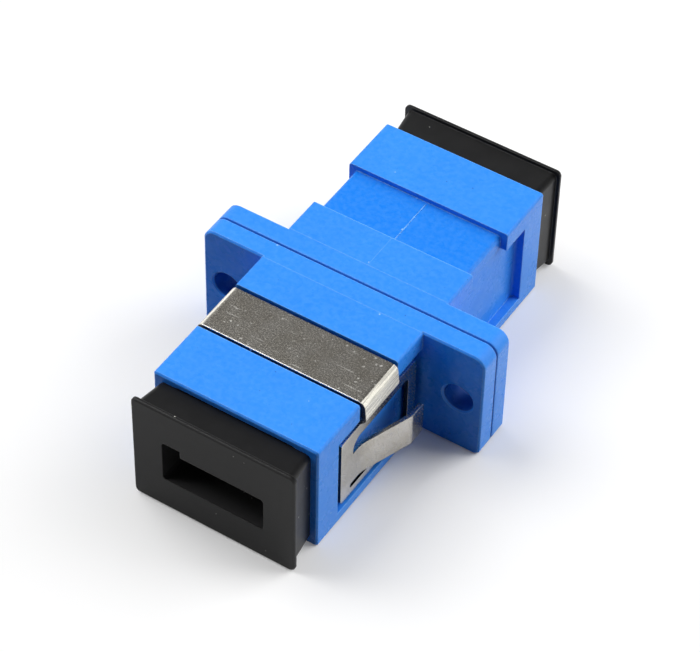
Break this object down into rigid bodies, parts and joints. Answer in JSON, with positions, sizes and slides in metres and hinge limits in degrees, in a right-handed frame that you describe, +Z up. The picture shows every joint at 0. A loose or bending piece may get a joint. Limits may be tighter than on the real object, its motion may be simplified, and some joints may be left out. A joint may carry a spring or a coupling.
{
  "type": "sc fibre adapter",
  "caption": "Flanged fibre-optic adapter with a square port at each end, a steel spring clip over one half, screw-hole flange ears and a push-in dust cap in each port.",
  "frame": {"origin": "on the optical axis, in the seam between the two housing halves, which is also the centre of the adapter", "axes": "+Y along the optical axis from the clip end to the plain end, X along the flange, +Z up towards the clip's top band"},
  "size_m": [0.022, 0.0332, 0.0092],
  "materials": {
    "housing": "satin blue moulded plastic",
    "latch_holder": "natural off-white moulded plastic",
    "sleeve": "ground white ceramic",
    "clip": "satin stainless spring steel",
    "cap": "black soft moulded plastic"
  },
  "bodies": {
    "adapter": {"front_housing": "housing", "rear_housing": "housing", "front_latch_holder": "latch_holder", "rear_latch_holder": "latch_holder", "alignment_sleeve": "sleeve", "spring_clip": "clip"},
    "front_cap": {"front_dust_cap": "cap"},
    "rear_cap": {"rear_dust_cap": "cap"}
  },
  "joints": [
    {"name": "front_cap_pull", "type": "slide", "parent": "adapter", "child": "front_cap", "axis": [0, -1, 0], "range_m": [0, 0.025]},
    {"name": "rear_cap_pull", "type": "slide", "parent": "adapter", "child": "rear_cap", "axis": [0, 1, 0], "range_m": [0, 0.025]}
  ]
}
